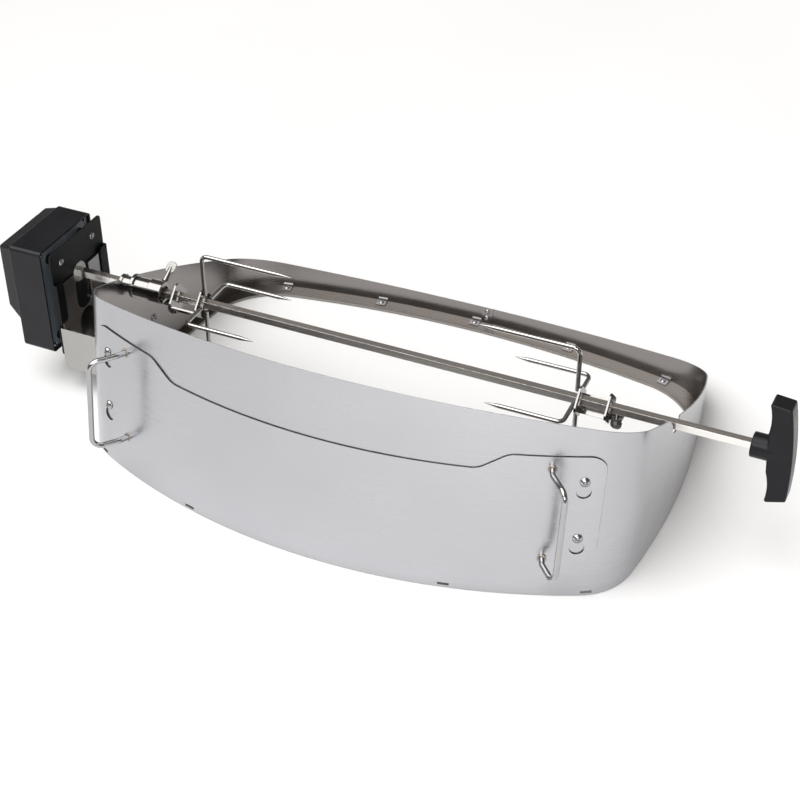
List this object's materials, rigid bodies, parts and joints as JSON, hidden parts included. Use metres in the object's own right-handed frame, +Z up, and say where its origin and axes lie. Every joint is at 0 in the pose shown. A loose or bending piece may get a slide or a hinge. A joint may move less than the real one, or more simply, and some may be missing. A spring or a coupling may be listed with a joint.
{
  "type": "rotisserie spit roaster",
  "caption": "Wedge-shaped sheet steel grill collar carrying a square spit with meat forks, a gear motor on a bracket, a T handle and a lift-off front panel.",
  "frame": {"origin": "centre of the whole object's box, on the plane the seat ring rests on", "axes": "+Z up, +X along the spit from the motor to the T handle, +Y to the back, where the collar is low"},
  "size_m": [0.896, 0.4744, 0.2118],
  "materials": {
    "brushed_stainless": "fine brushed",
    "bright_stainless": "polished",
    "spit_steel": "drawn",
    "chrome": "bright plated",
    "black_powder_coat": "satin",
    "black_plastic": "fine textured",
    "blue_grey_cover": "satin",
    "black_rubber": "matte",
    "rocker_plastic": "gloss",
    "bronze": "sintered",
    "zinc_steel": "zinc plated",
    "nylon_gear": "moulded",
    "laminated_iron": "laminated",
    "copper_winding": "enamelled"
  },
  "bodies": {
    "root": {"collar": "brushed_stainless", "seam_rivets": "bright_stainless", "seat_ring": "brushed_stainless", "seat_ring_screws": "bright_stainless", "panel_screws": "bright_stainless", "panel_nuts": "bright_stainless", "motor_bracket": "brushed_stainless", "bracket_bolts": "bright_stainless", "bracket_nuts": "bright_stainless", "motor_plate": "black_powder_coat", "plate_screws": "bright_stainless", "plate_spacers": "black_powder_coat", "motor_case": "black_plastic", "motor_cover": "blue_grey_cover", "case_screws": "bright_stainless", "hub_bearing": "bronze", "idler_pin": "zinc_steel", "gear_plate": "zinc_steel", "gear_pillars": "zinc_steel", "stator_core": "laminated_iron", "stator_coil": "copper_winding", "cord_gland": "black_rubber", "switch_bezel": "black_plastic"},
    "panel": {"front_panel": "brushed_stainless", "panel_handle_left": "bright_stainless", "panel_handle_right": "bright_stainless"},
    "spit": {"spit_rod": "spit_steel", "spit_bushing": "chrome", "handle_grip": "black_plastic", "handle_pin": "bright_stainless"},
    "bushing_screw": {"bushing_thumb_screw": "chrome"},
    "right_fork": {"right_fork_bracket": "chrome", "right_fork_tines": "chrome"},
    "right_fork_screw": {"right_fork_thumb_screw": "chrome"},
    "left_fork": {"left_fork_bracket": "chrome", "left_fork_tines": "chrome"},
    "left_fork_screw": {"left_fork_thumb_screw": "chrome"},
    "hub": {"drive_hub": "zinc_steel", "output_gear": "nylon_gear"},
    "idler": {"idler_gear": "nylon_gear"},
    "rotor_body": {"rotor": "laminated_iron", "rotor_pinion": "zinc_steel"},
    "rocker": {"rocker_switch": "rocker_plastic"}
  },
  "joints": [
    {"name": "panel_lift", "type": "slide", "parent": "root", "child": "panel", "axis": [0, 0.1444, 0.9895], "range_m": [0, 0.011]},
    {"name": "spit_spin", "type": "hinge", "parent": "root", "child": "spit", "pos_m": [0.00915, -0.03643, 0.1293], "axis": [1, 0, 0], "continuous": true},
    {"name": "hub_spin", "type": "hinge", "parent": "root", "child": "hub", "pos_m": [-0.39085, -0.03643, 0.1293], "axis": [1, 0, 0], "continuous": true},
    {"name": "idler_spin", "type": "hinge", "parent": "root", "child": "idler", "pos_m": [-0.40085, -0.03643, 0.0843], "axis": [1, 0, 0], "continuous": true},
    {"name": "rotor_spin", "type": "hinge", "parent": "root", "child": "rotor_body", "pos_m": [-0.41085, -0.01478, 0.0718], "axis": [1, 0, 0], "continuous": true},
    {"name": "right_fork_slide", "type": "slide", "parent": "spit", "child": "right_fork", "axis": [1, 0, 0], "range_m": [-0.1, 0.04]},
    {"name": "left_fork_slide", "type": "slide", "parent": "spit", "child": "left_fork", "axis": [1, 0, 0], "range_m": [-0.001, 0.1]},
    {"name": "right_fork_screw_turn", "type": "hinge", "parent": "right_fork", "child": "right_fork_screw", "pos_m": [0.26605, -0.03643, 0.1103], "axis": [0, 0, -1], "range_deg": [-360, 0]},
    {"name": "left_fork_screw_turn", "type": "hinge", "parent": "left_fork", "child": "left_fork_screw", "pos_m": [-0.25325, -0.03643, 0.1103], "axis": [0, 0, -1], "range_deg": [-360, 0]},
    {"name": "bushing_screw_turn", "type": "hinge", "parent": "spit", "child": "bushing_screw", "pos_m": [-0.26785, -0.00943, 0.14552], "axis": [0, 0.8572, 0.515], "range_deg": [-360, 0]},
    {"name": "rocker_tilt", "type": "hinge", "parent": "root", "child": "rocker", "pos_m": [-0.44035, -0.03643, 0.142], "axis": [0, 1, 0], "range_deg": [0, 14]}
  ],
  "couplings": [
    {"joint": "hub_spin", "follows": "spit_spin", "ratio": 1},
    {"joint": "idler_spin", "follows": "spit_spin", "ratio": -4},
    {"joint": "rotor_spin", "follows": "spit_spin", "ratio": 16}
  ]
}
